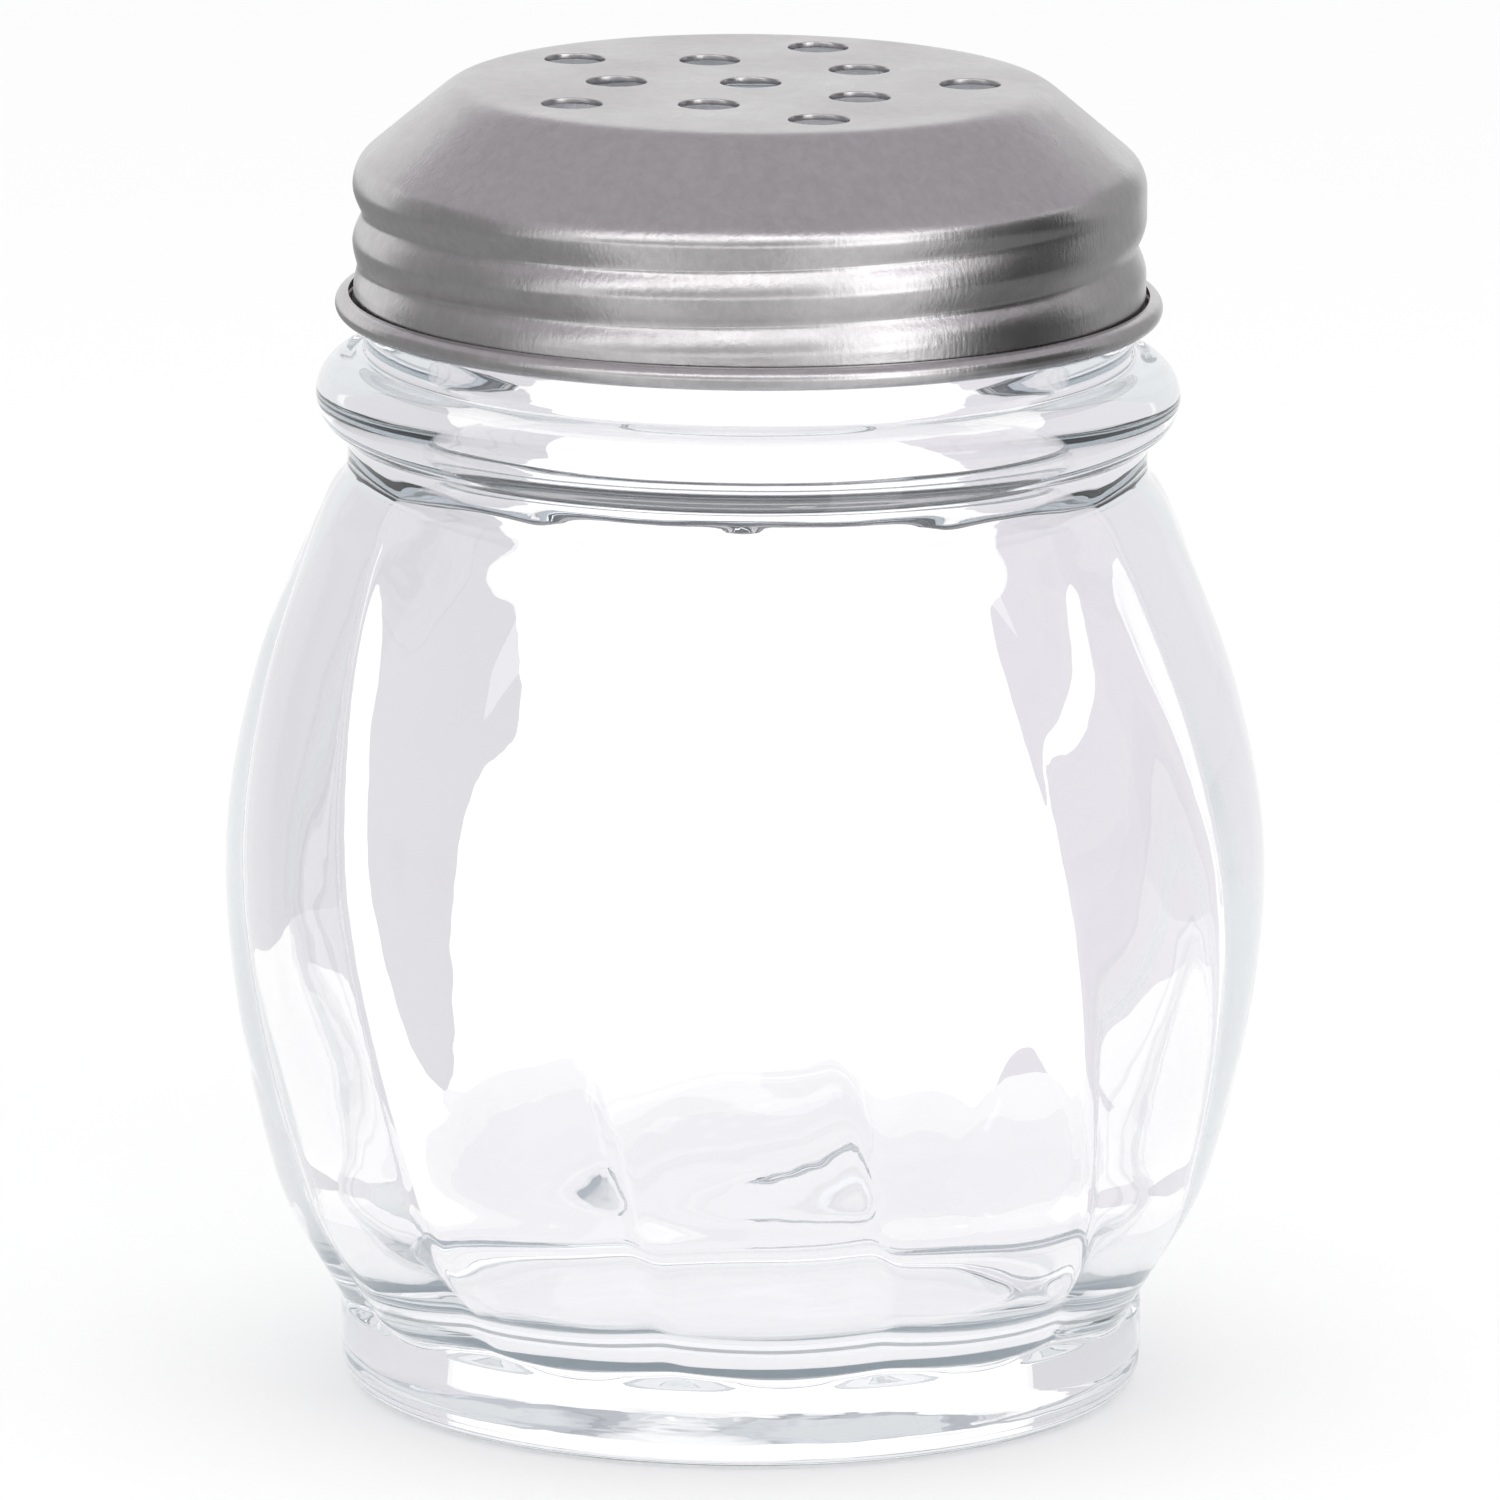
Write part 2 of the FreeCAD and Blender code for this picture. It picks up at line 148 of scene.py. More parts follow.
def colour(hex_code, alpha=1.0):
    """An sRGB hex colour as linear RGBA."""
    channels = [int(hex_code[i : i + 2], 16) / 255 for i in (1, 3, 5)]
    linear = [
        c / 12.92 if c <= 0.04045 else ((c + 0.055) / 1.055) ** 2.4 for c in channels
    ]
    return (*linear, alpha)


def smoothstep(low, high, value):
    """0 below low, 1 above high, and an S-shaped ramp between."""
    share = min(1.0, max(0.0, (value - low) / (high - low)))
    return share * share * (3 - 2 * share)


def arc(centre, radius, start, end, steps):
    """Points on an arc in the (radius, height) plane, by angles in degrees."""
    points = []
    for index in range(steps + 1):
        angle = math.radians(start + (end - start) * index / steps)
        x = centre[0] + radius * math.cos(angle)
        z = centre[1] + radius * math.sin(angle)
        points.append((x, z))
    return points


def spaced(points, spacing):
    """A polyline resampled at even steps, with its ends kept."""
    lengths = [0.0]
    for a, b in zip(points, points[1:]):
        lengths.append(lengths[-1] + math.dist(a, b))
    count = max(2, round(lengths[-1] / spacing))
    result = []
    segment = 0
    for index in range(count + 1):
        target = lengths[-1] * index / count
        while segment < len(points) - 2 and lengths[segment + 1] < target:
            segment += 1
        run = lengths[segment + 1] - lengths[segment]
        share = (target - lengths[segment]) / run if run else 0.0
        a, b = points[segment], points[segment + 1]
        result.append((a[0] + (b[0] - a[0]) * share, a[1] + (b[1] - a[1]) * share))
    return result


def eased(points, passes):
    """A polyline with its corners softened, as fire polish softens pressed glass."""
    for _ in range(passes):
        inner = [
            tuple((a[k] + 2 * b[k] + c[k]) / 4 for k in (0, 1))
            for a, b, c in zip(points, points[1:], points[2:])
        ]
        points = [points[0]] + inner + [points[-1]]
    return points


def mesh_object(name, vertices, faces):
    """A smooth-shaded object from vertices in millimetres."""
    mesh = bpy.data.meshes.new(name)
    mesh.from_pydata([tuple(c * MM for c in v) for v in vertices], [], faces)
    mesh.validate()
    mesh.update()
    mesh.shade_smooth()
    made = bpy.data.objects.new(name, mesh)
    bpy.context.scene.collection.objects.link(made)
    return made


# Jar geometry


def station_spline(stations, height):
    """The radius at a height, by a smooth curve through (height, radius) stations."""
    last = len(stations) - 2
    index = min(last, max(0, sum(h <= height for h, _ in stations) - 1))

    def slope(k):
        low = max(0, k - 1)
        high = min(len(stations) - 1, k + 1)
        rise = stations[high][1] - stations[low][1]
        return rise / (stations[high][0] - stations[low][0])

    (z0, r0), (z1, r1) = stations[index], stations[index + 1]
    run = z1 - z0
    t = (height - z0) / run
    start = slope(index) * run
    end = slope(index + 1) * run
    return (
        (2 * t**3 - 3 * t**2 + 1) * r0
        + (t**3 - 2 * t**2 + t) * start
        + (-2 * t**3 + 3 * t**2) * r1
        + (t**3 - t**2) * end
    )


def body_radius(height):
    """The smooth radius over the lobes, never wider than the belly."""
    return min(BELLY_RADIUS, station_spline(BODY_STATIONS, height))


def lobe_dip(angle, height):
    """How far the lobed surface lies inside its crests, as a share of the lobe depth."""
    share = (height - FOOT_HEIGHT) / (BODY_STATIONS[-1][0] - FOOT_HEIGHT)
    turned = angle - SWIRL_START + share * SWIRL
    across = (turned * LOBES / TURN) % 1.0
    from_crease = 1 - abs(2 * across - 1)
    softened = math.hypot(from_crease, CREASE_SOFTNESS)
    return (1 - softened) ** 2


def soft_lobe(angle, height):
    """The lobes as the inner wall follows them: rounded, with no creases."""
    share = (height - FOOT_HEIGHT) / (BODY_STATIONS[-1][0] - FOOT_HEIGHT)
    turned = angle - SWIRL_START + share * SWIRL
    return 0.5 * (1 + math.cos(turned * LOBES))


def lobe_depth(height):
    """The lobes' depth: full on the body, shallow at the neck, none on foot and neck."""
    top = BODY_STATIONS[-1][0]
    rising = smoothstep(FOOT_HEIGHT + 0.1, FOOT_HEIGHT + 0.6, height)
    fading = 1 - 0.75 * smoothstep(LOBE_FADE_HEIGHT, top - 1, height)
    ending = 1 - smoothstep(top - 0.5, top + 1.5, height)
    return LOBE_DEPTH * rising * fading * ending


def jar_outside():
    """The jar's outer outline, from the underside's middle to the top of the finish."""
    ring = (RING_CENTRE_RADIUS, RING_HEIGHT)
    ring_low = math.degrees(
        math.acos((LOWER_NECK_RADIUS - RING_CENTRE_RADIUS) / RING_SECTION_RADIUS)
    )
    ring_high = math.degrees(
        math.acos((NECK_RADIUS - RING_CENTRE_RADIUS) / RING_SECTION_RADIUS)
    )
    edge = FOOT_RADIUS - FOOT_EDGE_ROUND
    body = [
        (body_radius(z / 2), z / 2)
        for z in range(round(2 * FOOT_HEIGHT) + 1, round(2 * BODY_STATIONS[-1][0]))
    ]
    lip = FINISH_RADIUS - FINISH_EDGE_ROUND
    lip_height = FINISH_TOP - FINISH_EDGE_ROUND
    return (
        [(0, FOOT_HOLLOW_DEPTH), (FOOT_HOLLOW_RADIUS - 2, FOOT_HOLLOW_DEPTH)]
        + [(FOOT_HOLLOW_RADIUS, 0)]
        + arc((edge, FOOT_EDGE_ROUND), FOOT_EDGE_ROUND, -90, 0, 8)
        + [(FOOT_RADIUS, FOOT_HEIGHT - 0.1), (FOOT_RADIUS - 0.2, FOOT_HEIGHT + 0.1)]
        + body
        + [(LOWER_NECK_RADIUS, BODY_STATIONS[-1][0] + 0.5)]
        + arc(ring, RING_SECTION_RADIUS, -ring_low, ring_high, 24)
        + [(NECK_RADIUS, NECK_TOP), (FINISH_RADIUS, NECK_TOP)]
        + arc((lip, lip_height), FINISH_EDGE_ROUND, 0, 90, 6)
    )


def jar_inside():
    """The hollow's outline, from the mouth's rim down to the middle of the floor."""
    lip = MOUTH_RADIUS + FINISH_EDGE_ROUND
    lip_height = FINISH_TOP - FINISH_EDGE_ROUND
    top = round(2 * INNER_STATIONS[-1][0])
    low = round(2 * FLOOR_SWEEP_TOP)
    wall = [
        (station_spline(INNER_STATIONS, step / 2), step / 2)
        for step in range(top, low, -1)
    ]
    sweep = []
    wide = INNER_STATIONS[0][1]
    deep = FLOOR_SWEEP_TOP - FLOOR_HEIGHT
    for step in range(25):
        angle = math.pi / 2 * step / 24
        inward = FLOOR_SWEEP_WIDTH * (1 - math.cos(angle))
        sweep.append((wide - inward, FLOOR_SWEEP_TOP - deep * math.sin(angle)))
    return (
        arc((lip, lip_height), FINISH_EDGE_ROUND, 90, 180, 6)
        + [(MOUTH_RADIUS, INNER_STATIONS[-1][0] + 2)]
        + wall
        + sweep
        + [(0, FLOOR_HEIGHT)]
    )


def thread_share(angle, height, low_height, half_width):
    """How much of a helical ridge or groove stands at a point, from 0 to 1."""
    share = 0.0
    for turn in range(-1, 4):
        along = angle / TURN - GROOVE_LOW_TURN + turn
        if not -GROOVE_FADE_TURN < along < THREAD_TURNS + GROOVE_FADE_TURN:
            continue
        away = abs(height - low_height - THREAD_PITCH * along) / half_width
        if away >= 1:
            continue
        fade_in = smoothstep(-GROOVE_FADE_TURN, GROOVE_FADE_TURN, along)
        fade_out = 1 - smoothstep(
            THREAD_TURNS - GROOVE_FADE_TURN, THREAD_TURNS + GROOVE_FADE_TURN, along
        )
        soft = math.hypot(away, ROOT_SOFTNESS) - ROOT_SOFTNESS
        bump = max(0.0, 1 - math.sin(min(1.0, soft) * math.pi / 2))
        share = max(share, bump * fade_in * fade_out)
    return share


def glass_ripple(angle, height, radius, size, seed):
    """Slow unevenness of pressed and blown glass, from -1 to 1."""
    x = radius * math.cos(angle) / size
    y = radius * math.sin(angle) / size
    return noise.noise(Vector((x, y, height / size + seed)))


def jar_surface():
    """The jar as one closed skin: outside, rim and inside."""
    columns = LOBES * COLUMNS_PER_LOBE
    outside = eased(spaced(jar_outside(), OUTER_STEP), 3)
    inside = eased(spaced(jar_inside(), INNER_STEP), 4)
    outer_depth, outer_size, outer_seed = OUTER_RIPPLE
    inner_depth, inner_size, inner_seed = INNER_RIPPLE
    thread_low = GROOVE_LOW_HEIGHT + THREAD_PITCH / 2
    outline = [(r, z, "outer") for r, z in outside[1:]]
    outline += [(r, z, "inner") for r, z in inside[1:-1]]
    vertices = [(0, 0, outside[0][1])]
    for radius, height, side in outline:
        for column in range(columns):
            angle = TURN * column / columns
            moved = radius
            if side == "outer":
                moved -= lobe_depth(height) * lobe_dip(angle, height)
                if height > NECK_TOP:
                    moved += GLASS_THREAD_HEIGHT * thread_share(
                        angle, height, thread_low, GLASS_THREAD_HALF_WIDTH
                    )
                if FOOT_HEIGHT < height < RING_HEIGHT:
                    ripple = glass_ripple(angle, height, radius, outer_size, outer_seed)
                    moved -= outer_depth * (1 + ripple)
            elif height < RING_HEIGHT:
                calm = smoothstep(0, CALM_FLOOR_RADIUS, radius)
                ripple = glass_ripple(angle, height, radius, inner_size, inner_seed)
                moved -= INNER_LOBE_SHARE * lobe_depth(height) * soft_lobe(angle, height)
                moved -= inner_depth * calm * ripple
            vertices.append((moved * math.cos(angle), moved * math.sin(angle), height))
    rows = len(outline)
    last = len(vertices)
    vertices.append((0, 0, inside[-1][1]))
    faces = []
    for column in range(columns):
        beside = (column + 1) % columns
        faces.append((0, 1 + beside, 1 + column))
        final = 1 + (rows - 1) * columns
        faces.append((last, final + column, final + beside))
    for row in range(rows - 1):
        low = 1 + row * columns
        high = low + columns
        for column in range(columns):
            beside = (column + 1) % columns
            faces.append((low + column, low + beside, high + beside, high + column))
    return mesh_object("jar_glass", vertices, faces)


# Lid geometry


def lid_sheet_line():
    """The middle line of the lid's sheet, from the flat top out and round the curl."""
    half = SHEET / 2
    top = LID_TOP - half
    skirt = LID_SKIRT_RADIUS - half
    shoulder = LID_SHOULDER_HEIGHT + LID_SHOULDER_CHAMFER
    curl = (LID_SKIRT_RADIUS - SHEET + CURL_SECTION_RADIUS, CURL_HEIGHT)
    upper = [
        (LID_DISC_RADIUS, top),
        *arc(
            (LID_FLAT_RADIUS - LID_TOP_TANGENT, top - LID_TOP_ROUND),
            LID_TOP_ROUND,
            90,
            90 - LID_SLOPE,
            8,
        ),
        (skirt - 0.5, shoulder - 0.3),
        (skirt, LID_SHOULDER_HEIGHT - 0.2),
        (skirt, CURL_HEIGHT + 1.5),
    ]
    lower = [(skirt, CURL_HEIGHT + 1.5)] + arc(
        curl, CURL_SECTION_RADIUS - half, 180, 360 + CURL_END_ANGLE, 26
    )
    return eased(spaced(upper, 0.2), 8), lower


def offset_line(points, distance):
    """A polyline moved sideways, to the left of its direction."""
    moved = []
    for index, point in enumerate(points):
        before = points[max(0, index - 1)]
        after = points[min(len(points) - 1, index + 1)]
        run = math.dist(before, after)
        side = (-(after[1] - before[1]) / run, (after[0] - before[0]) / run)
        moved.append((point[0] + side[0] * distance, point[1] + side[1] * distance))
    return moved


def ring_of(bm, radius, height, centre):
    """A ring of vertices about a shaker hole's axis."""
    ring = []
    for index in range(HOLE_SIDES):
        angle = TURN * index / HOLE_SIDES
        x = centre[0] + radius * math.cos(angle)
        y = centre[1] + radius * math.sin(angle)
        ring.append(bm.verts.new((x * MM, y * MM, height * MM)))
    return ring


def bridge(bm, lower, upper):
    """Quads between two rings of as many vertices."""
    count = len(lower)
    for index in range(count):
        beside = (index + 1) % count
        bm.faces.new((lower[index], lower[beside], upper[beside], upper[index]))


def close_ring(bm, ring):
    """The edges round a ring of vertices."""
    edges = []
    for a, b in zip(ring, ring[1:] + ring[:1]):
        edges.append(bm.edges.get((a, b)) or bm.edges.new((a, b)))
    return edges


def hole_centres():
    """The shaker holes' centres."""
    centres = []
    for radius, start, count in HOLE_RINGS:
        for index in range(count):
            angle = start + TURN * index / count
            centres.append((radius * math.cos(angle), radius * math.sin(angle)))
    return centres


def shaker_lid():
    """The lid as one closed skin: sheet, rolled thread, curl and punched holes."""
    bm = bmesh.new()
    upper, lower = lid_sheet_line()
    line = upper + lower[1:]
    sides = [offset_line(line, SHEET / 2), offset_line(line, -SHEET / 2)]
    rings = []
    for side in sides:
        loops = []
        for (radius, height), (_, middle) in zip(side, line):
            ring = []
            for column in range(LID_COLUMNS):
                angle = TURN * column / LID_COLUMNS
                dip = GROOVE_DEPTH * thread_share(
                    angle, middle, GROOVE_LOW_HEIGHT, GROOVE_HALF_WIDTH
                )
                inward = radius - dip
                x = inward * math.cos(angle)
                y = inward * math.sin(angle)
                ring.append(bm.verts.new((x * MM, y * MM, height * MM)))
            loops.append(ring)
        rings.append(loops)
    for loops in rings:
        for a, b in zip(loops, loops[1:]):
            bridge(bm, a, b)
    bridge(bm, rings[0][-1], rings[1][-1])
    section = [
        (HOLE_RADIUS + HOLE_EDGE_ROUND, LID_TOP),
        (HOLE_RADIUS + HOLE_EDGE_ROUND * 0.3, LID_TOP - HOLE_EDGE_ROUND * 0.3),
        (HOLE_RADIUS, LID_TOP - HOLE_EDGE_ROUND),
        (HOLE_RADIUS, LID_TOP - SHEET),
    ]
    walls = []
    for centre in hole_centres():
        walls.append([ring_of(bm, radius, z, centre) for radius, z in section])
    for wall in walls:
        for a, b in zip(wall, wall[1:]):
            bridge(bm, a, b)
    for loops, level in ((rings[0], 0), (rings[1], -1)):
        edges = close_ring(bm, loops[0])
        for wall in walls:
            edges += close_ring(bm, wall[level])
        bmesh.ops.triangle_fill(bm, use_beauty=True, edges=edges)
    bmesh.ops.recalc_face_normals(bm, faces=bm.faces)
    mesh = bpy.data.meshes.new("lid_steel")
    bm.to_mesh(mesh)
    bm.free()
    mesh.shade_smooth()
    mesh.set_sharp_from_angle(angle=SHARP_ANGLE)
    # The flat top is the only part filled with triangles, and it has to shade flat
    for face in mesh.polygons:
        if len(face.vertices) == 3:
            face.use_smooth = False
    made = bpy.data.objects.new("lid_steel", mesh)
    bpy.context.scene.collection.objects.link(made)
    return made


# Materials

# Sizes of the materials' relief, in metres
CHILL_SIZE = 0.006
GRAIN_SIZE = 0.00045
STREAK_WIDTH = 0.0003
STREAK_LENGTH = 0.0015
BLOTCH_SIZE = 0.009
CRYSTAL_SIZE = 0.0011

# How often a ray may bounce in the glass, where a reflection counts twice
MOST_BOUNCES = 6


def add_node(tree, kind, settings=None, links=None):
    """One shader node with its settings and its input links, by socket name or number."""
    made = tree.nodes.new(kind)
    for name, value in (settings or {}).items():
        if isinstance(name, int) or name in made.inputs:
            made.inputs[name].default_value = value
        else:
            setattr(made, name, value)
    for name, source in (links or {}).items():
        tree.links.new(source, made.inputs[name])
    return made


def new_material(name):
    """An empty node material and its tree."""
    material = bpy.data.materials.new(name)
    material.use_nodes = True
    material.node_tree.nodes.clear()
    return material, material.node_tree


def pressed_soda_lime_glass():
    """Soda-lime glass, pressed and fire polished: clear, glossy, cool grey if thick."""
    material, tree = new_material("pressed_soda_lime_glass")
    place = add_node(tree, "ShaderNodeTexCoord")
    chill = add_node(
        tree,
        "ShaderNodeTexNoise",
        {"Scale": 1 / CHILL_SIZE, "Detail": 2.0, "Roughness": 0.45},
        {"Vector": place.outputs["Object"]},
    )
    ripple = add_node(
        tree,
        "ShaderNodeBump",
        {"Strength": 0.05, "Distance": 0.0004},
        {"Height": chill.outputs["Fac"]},
    )
    glass = add_node(
        tree,
        "ShaderNodeBsdfPrincipled",
        {
            "Base Color": colour("#FFFEFF"),
            "Roughness": 0.0,
            "IOR": 1.52,
            "Transmission Weight": 1.0,
        },
        {"Normal": ripple.outputs["Normal"]},
    )
    tint = add_node(
        tree, "ShaderNodeVolumeAbsorption", {"Color": colour("#E4E9EA"), "Density": 2.2}
    )
    # Shadow rays pass through, and so do rays that have bounced too often in the wall.
    # The renderer would leave those black; the tint makes them a pale grey instead.
    path = add_node(tree, "ShaderNodeLightPath")
    passing = add_node(
        tree,
        "ShaderNodeMix",
        {"data_type": "RGBA", "A": colour("#DDE1E4"), "B": colour("#F9FBFB")},
        {"Factor": path.outputs["Is Shadow Ray"]},
    )
    clear = add_node(
        tree, "ShaderNodeBsdfTransparent", None, {"Color": passing.outputs["Result"]}
    )
    bounces = add_node(
        tree,
        "ShaderNodeMath",
        {"operation": "ADD"},
        {0: path.outputs["Ray Depth"], 1: path.outputs["Glossy Depth"]},
    )
    trapped = add_node(
        tree,
        "ShaderNodeMath",
        {"operation": "GREATER_THAN", 1: MOST_BOUNCES + 0.5},
        {0: bounces.outputs["Value"]},
    )
    passed = add_node(
        tree,
        "ShaderNodeMath",
        {"operation": "MAXIMUM"},
        {0: path.outputs["Is Shadow Ray"], 1: trapped.outputs["Value"]},
    )
    lit = add_node(
        tree,
        "ShaderNodeMixShader",
        None,
        {
            "Fac": passed.outputs["Value"],
            1: glass.outputs["BSDF"],
            2: clear.outputs["BSDF"],
        },
    )
    add_node(
        tree,
        "ShaderNodeOutputMaterial",
        None,
        {"Surface": lit.outputs["Shader"], "Volume": tint.outputs["Volume"]},
    )
    return material


def satin_stainless_steel():
    """Stainless sheet, drawn and satin finished: grey, softly glossy, streaked."""
    material, tree = new_material("satin_stainless_steel")
    place = add_node(tree, "ShaderNodeTexCoord")
    grain = add_node(
        tree,
        "ShaderNodeTexNoise",
        {"Scale": 1 / GRAIN_SIZE, "Detail": 3.0, "Roughness": 0.6},
        {"Vector": place.outputs["Object"]},
    )
    drawn = add_node(
        tree,
        "ShaderNodeMapping",
        {"Scale": (1 / STREAK_WIDTH, 1 / STREAK_WIDTH, 1 / STREAK_LENGTH)},
        {"Vector": place.outputs["Object"]},
    )
    streaks = add_node(
        tree,
        "ShaderNodeTexNoise",
        {"Scale": 1.0, "Detail": 2.0, "Roughness": 0.5},
        {"Vector": drawn.outputs["Vector"]},
    )
    blotches = add_node(
        tree,
        "ShaderNodeTexNoise",
        {"Scale": 1 / BLOTCH_SIZE, "Detail": 2.0, "Roughness": 0.5},
        {"Vector": place.outputs["Object"]},
    )
    roughness = add_node(
        tree,
        "ShaderNodeMapRange",
        {"From Min": 0.3, "From Max": 0.7, "To Min": 0.25, "To Max": 0.34},
        {"Value": blotches.outputs["Fac"]},
    )
    relief = add_node(
        tree,
        "ShaderNodeMath",
        {"operation": "ADD"},
        {0: grain.outputs["Fac"], 1: streaks.outputs["Fac"]},
    )
    bump = add_node(
        tree,
        "ShaderNodeBump",
        {"Strength": 0.15, "Distance": 0.0001},
        {"Height": relief.outputs["Value"]},
    )
    crystals = add_node(
        tree,
        "ShaderNodeTexNoise",
        {
            "Scale": 1 / CRYSTAL_SIZE,
            "Detail": 6.0,
            "Roughness": 0.75,
            "Distortion": 0.4,
        },
        {"Vector": place.outputs["Object"]},
    )
    patchy = add_node(
        tree,
        "ShaderNodeMapRange",
        {"From Min": 0.36, "From Max": 0.64, "To Min": 0.0, "To Max": 1.0},
        {"Value": crystals.outputs["Fac"]},
    )
    mottle = add_node(
        tree,
        "ShaderNodeMix",
        {"data_type": "RGBA", "A": colour("#BEBCBD"), "B": colour("#C9C7C8")},
        {"Factor": patchy.outputs["Result"]},
    )
    steel = add_node(
        tree,
        "ShaderNodeBsdfPrincipled",
        {"Metallic": 1.0},
        {
            "Base Color": mottle.outputs["Result"],
            "Roughness": roughness.outputs["Result"],
            "Normal": bump.outputs["Normal"],
        },
    )
    add_node(
        tree, "ShaderNodeOutputMaterial", None, {"Surface": steel.outputs["BSDF"]}
    )
    return material


# Studio


# Cards seen in the satin metal: name, azimuth, distance, width, low, high, strength
STANDING_CARDS = [
    ("front_upper_flag", 4, 720, 1500, 150, 430, 0.5),
    ("horizon_card", 4, 560, 1200, 40, 130, 1.6),
    ("right_flag", 80, 300, 270, 0, 220, 0.07),
    ("right_back_flag", 130, 300, 230, 0, 220, 0.45),
    ("left_flag", -92, 300, 330, 0, 240, 0.33),
    ("front_flag", -3, 330, 190, 0, 60, 0.5),
]
# Wedges of the table seen in the metal: name, azimuths from and to, strength
TABLE_CARDS = [
    ("left_table", -165, -45, 0.36),
    ("left_front_table", -45, -20, 0.85),
    ("front_table", -20, 14, 0.65),
    ("right_front_table", 14, 60, 0.9),
    ("right_table", 60, 112, 0.2),
    ("right_back_table", 112, 150, 0.42),
]
# Cards behind the jar seen through the glass: name, x from and to, y, colour, strength
BACK_CARDS = [
    ("back_card", -30, 30, 82, "#FFFFFF", 1.12),
    ("left_card", -400, -30, 80, "#DBDBDF", 1.0),
    ("right_card", 30, 400, 80, "#E3E2E7", 1.0),
]


def studio_floor():
    """A plain white table top that keeps the jar's soft shadow."""
    half = 3.0
    mesh = bpy.data.meshes.new("floor")
    mesh.from_pydata(
        [(-half, -half, 0), (half, -half, 0), (half, half, 0), (-half, half, 0)],
        [],
        [(0, 1, 2, 3)],
    )
    floor = bpy.data.objects.new("floor", mesh)
    bpy.context.scene.collection.objects.link(floor)
    material, tree = new_material("white_table")
    surface = add_node(
        tree, "ShaderNodeBsdfDiffuse", {"Color": colour("#F9F9F9"), "Roughness": 0.0}
    )
    add_node(
        tree, "ShaderNodeOutputMaterial", None, {"Surface": surface.outputs["BSDF"]}
    )
    mesh.materials.append(material)
    return floor


def studio_card(name, corners, shade, strength, seen_in):
    """A flat, evenly bright card beside the set, seen only in "metal" or in "glass"."""
    mesh = bpy.data.meshes.new(name)
    mesh.from_pydata([tuple(c * MM for c in p) for p in corners], [], [(0, 1, 2, 3)])
    card = bpy.data.objects.new(name, mesh)
    bpy.context.scene.collection.objects.link(card)
    material, tree = new_material(name + "_paper")
    glow = add_node(
        tree, "ShaderNodeEmission", {"Color": colour(shade), "Strength": strength}
    )
    shown = glow.outputs["Emission"]
    if seen_in == "metal":
        # Glass and polished surfaces reflect sharply, and look through the card
        clear = add_node(tree, "ShaderNodeBsdfTransparent", {"Color": colour("#FFFFFF")})
        path = add_node(tree, "ShaderNodeLightPath")
        satin_only = add_node(
            tree,
            "ShaderNodeMixShader",
            None,
            {
                "Fac": path.outputs["Is Singular Ray"],
                1: glow.outputs["Emission"],
                2: clear.outputs["BSDF"],
            },
        )
        shown = satin_only.outputs["Shader"]
    add_node(tree, "ShaderNodeOutputMaterial", None, {"Surface": shown})
    mesh.materials.append(material)
    card.visible_camera = False
    card.visible_diffuse = False
    card.visible_shadow = False
    card.visible_glossy = seen_in == "metal"
    card.visible_transmission = seen_in == "glass"
    return card


def standing_card(name, azimuth, distance, width, low, high, strength):
    """An upright white card seen in metal; azimuth 0 is the front, + to its right."""
    turn = math.radians(azimuth)
    middle = Vector((math.sin(turn), -math.cos(turn), 0)) * distance
    side = Vector((math.cos(turn), math.sin(turn), 0)) * width / 2
    corners = [
        middle - side + Vector((0, 0, low)),
        middle + side + Vector((0, 0, low)),
        middle + side + Vector((0, 0, high)),
        middle - side + Vector((0, 0, high)),
    ]
    return studio_card(name, corners, "#FFFFFF", strength, "metal")


def table_card(name, low_azimuth, high_azimuth, strength):
    """A wedge of the table about the jar, between two azimuths, seen in metal."""
    near, far, lift = 60, 1200, 0.5
    corners = []
    for azimuth, distance in (
        (low_azimuth, near),
        (high_azimuth, near),
        (high_azimuth, far),
        (low_azimuth, far),
    ):
        turn = math.radians(azimuth)
        corners.append((math.sin(turn) * distance, -math.cos(turn) * distance, lift))
    return studio_card(name, corners, "#FFFFFF", strength, "metal")


def soft_light(name, place, aim, width, height, power):
    """A rectangular softbox that points at aim, all in millimetres."""
    data = bpy.data.lights.new(name, "AREA")
    data.shape = "RECTANGLE"
    data.size = width * MM
    data.size_y = height * MM
    data.energy = power
    lamp = bpy.data.objects.new(name, data)
    lamp.location = Vector(place) * MM
    direction = Vector(aim) - Vector(place)
    lamp.rotation_euler = direction.to_track_quat("-Z", "Y").to_euler()
    bpy.context.scene.collection.objects.link(lamp)
    return lamp


def white_surround():
    """An even white room, so that glass and metal show white and the table stays pale."""
    world = bpy.data.worlds.new("studio")
    world.use_nodes = True
    tree = world.node_tree
    tree.nodes.clear()
    room = add_node(
        tree, "ShaderNodeBackground", {"Color": colour("#FFFFFF"), "Strength": 1.0}
    )
    add_node(tree, "ShaderNodeOutputWorld", None, {"Surface": room.outputs["Background"]})
    bpy.context.scene.world = world


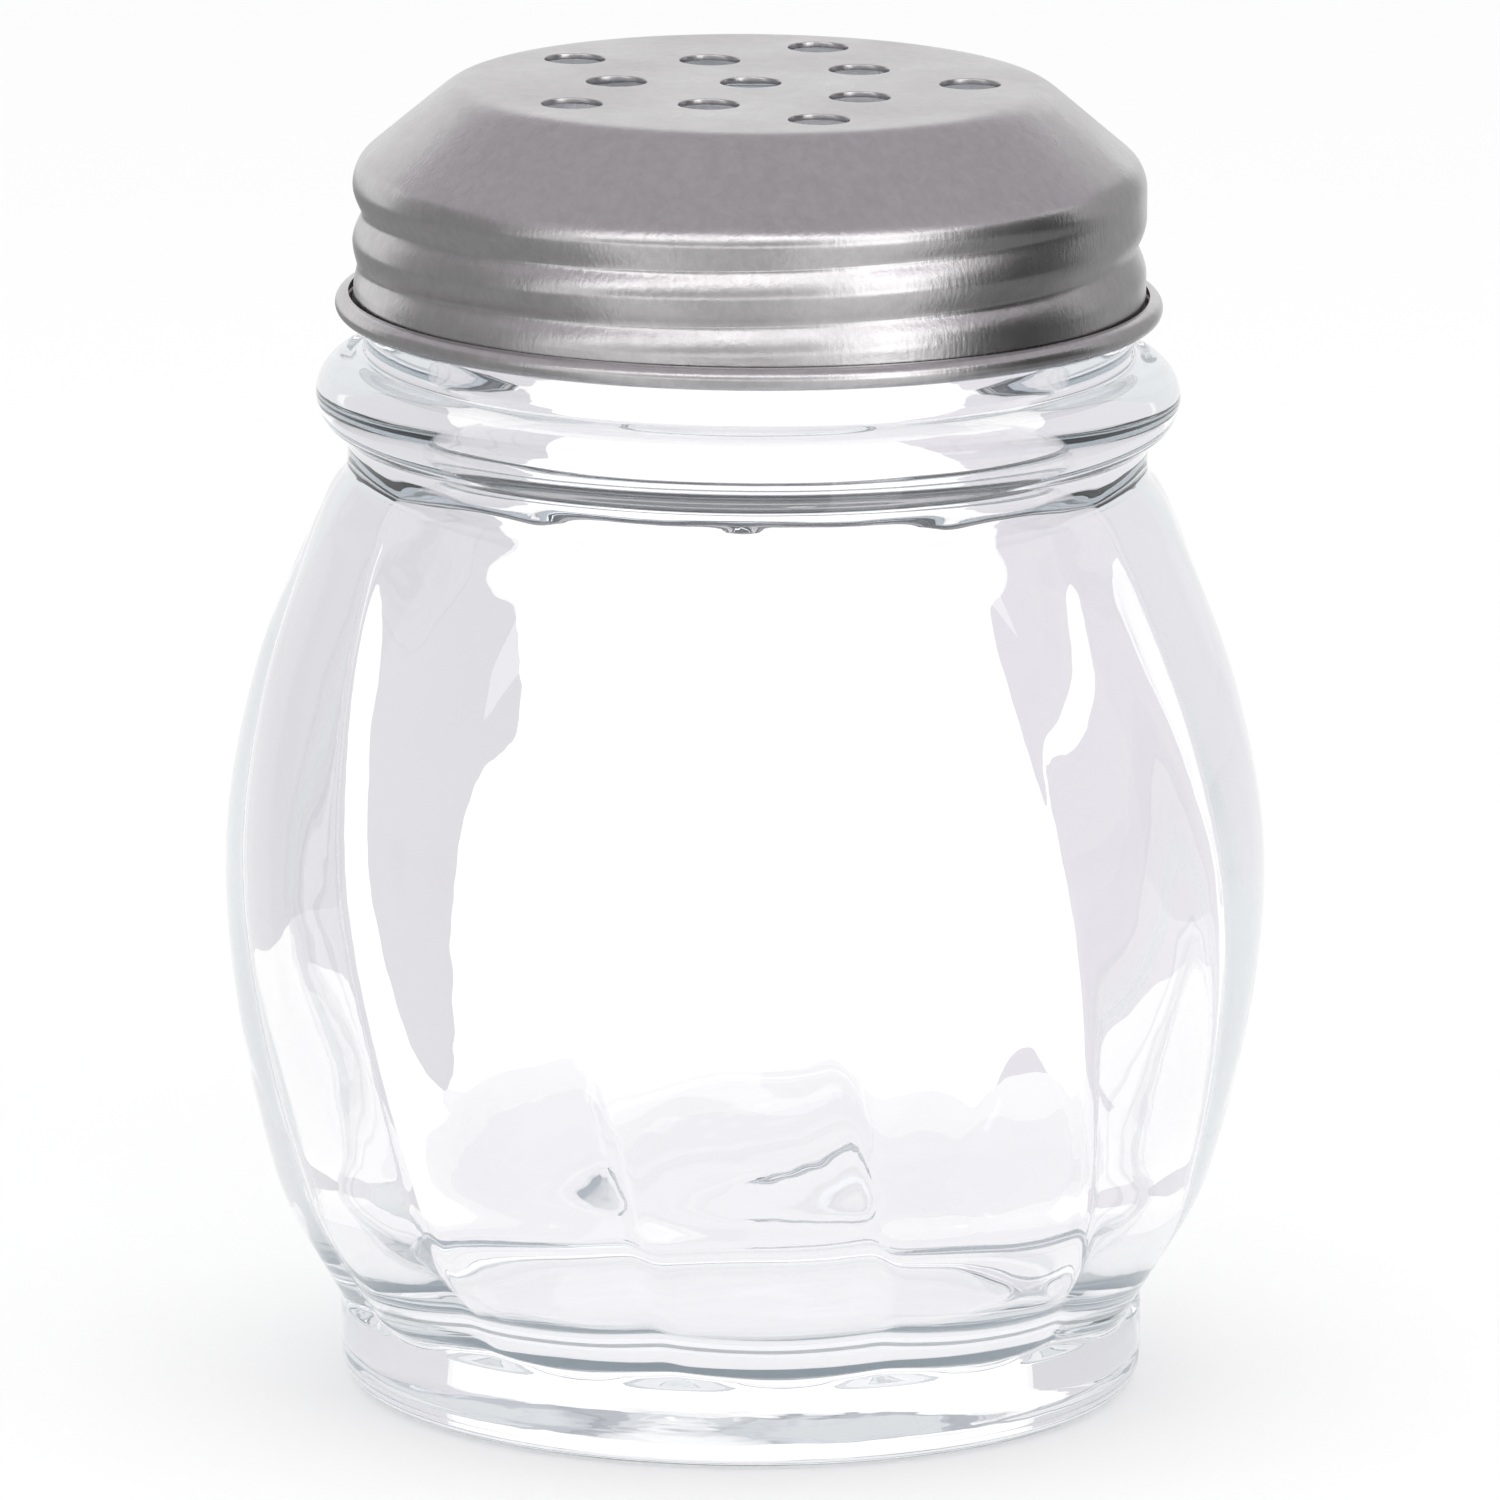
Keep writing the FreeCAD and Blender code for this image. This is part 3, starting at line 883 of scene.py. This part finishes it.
# Camera, set from the photograph: long lens, 12.2 degrees above the jar's middle
CAMERA_ELEVATION = math.radians(12.2)
CAMERA_DISTANCE = 1372.0
CAMERA_AIM = Vector((0.37, 0.0, 51.1))
CAMERA_ROLL = math.radians(0.47)
PIXELS_PER_MM = 12.57
FRAME_PIXELS = 1500
SENSOR_WIDTH = 36.0


def photograph_camera():
    """The camera that frames the jar as the photograph does."""
    data = bpy.data.cameras.new("camera")
    data.sensor_width = SENSOR_WIDTH
    data.lens = CAMERA_DISTANCE * PIXELS_PER_MM * SENSOR_WIDTH / FRAME_PIXELS
    data.clip_start = 0.05
    data.clip_end = 20.0
    camera = bpy.data.objects.new("camera", data)
    back = Vector((0, -math.cos(CAMERA_ELEVATION), math.sin(CAMERA_ELEVATION)))
    camera.location = (CAMERA_AIM + back * CAMERA_DISTANCE) * MM
    level = (-back).to_track_quat("-Z", "Y")
    camera.rotation_mode = "QUATERNION"
    camera.rotation_quaternion = level @ Quaternion((0, 0, 1), CAMERA_ROLL)
    bpy.context.scene.collection.objects.link(camera)
    bpy.context.scene.camera = camera
    return camera


jar = jar_surface()
jar.data.materials.append(pressed_soda_lime_glass())
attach(jar, "jar")
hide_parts("glass_jar")

lid = shaker_lid()
lid.data.materials.append(satin_stainless_steel())
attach(lid, "lid")
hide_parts("shaker_lid")

studio_floor()
white_surround()
soft_light("front_softbox", (60, -560, 560), (0, 0, 60), 1900, 120, 1.6)
soft_light("right_softbox", (370, -470, 200), (0, 0, 90), 260, 420, 0.5)
studio_card(
    "ceiling",
    [(-1700, -1200, 950), (1700, -1200, 950), (1700, 1500, 950), (-1700, 1500, 950)],
    "#FFF9FF",
    0.56,
    "metal",
)
for card in STANDING_CARDS:
    standing_card(*card)
for card in TABLE_CARDS:
    table_card(*card)
for name, left, right, back, shade, strength in BACK_CARDS:
    corners = [(left, back, 0), (right, back, 0), (right, back, 200), (left, back, 200)]
    studio_card(name, corners, shade, strength, "glass")
studio_card(
    "light_table",
    [(-60, -60, 0.05), (60, -60, 0.05), (60, 60, 0.05), (-60, 60, 0.05)],
    "#F4F5F7",
    1.0,
    "glass",
)
photograph_camera()

bpy.context.scene.view_settings.view_transform = "Standard"
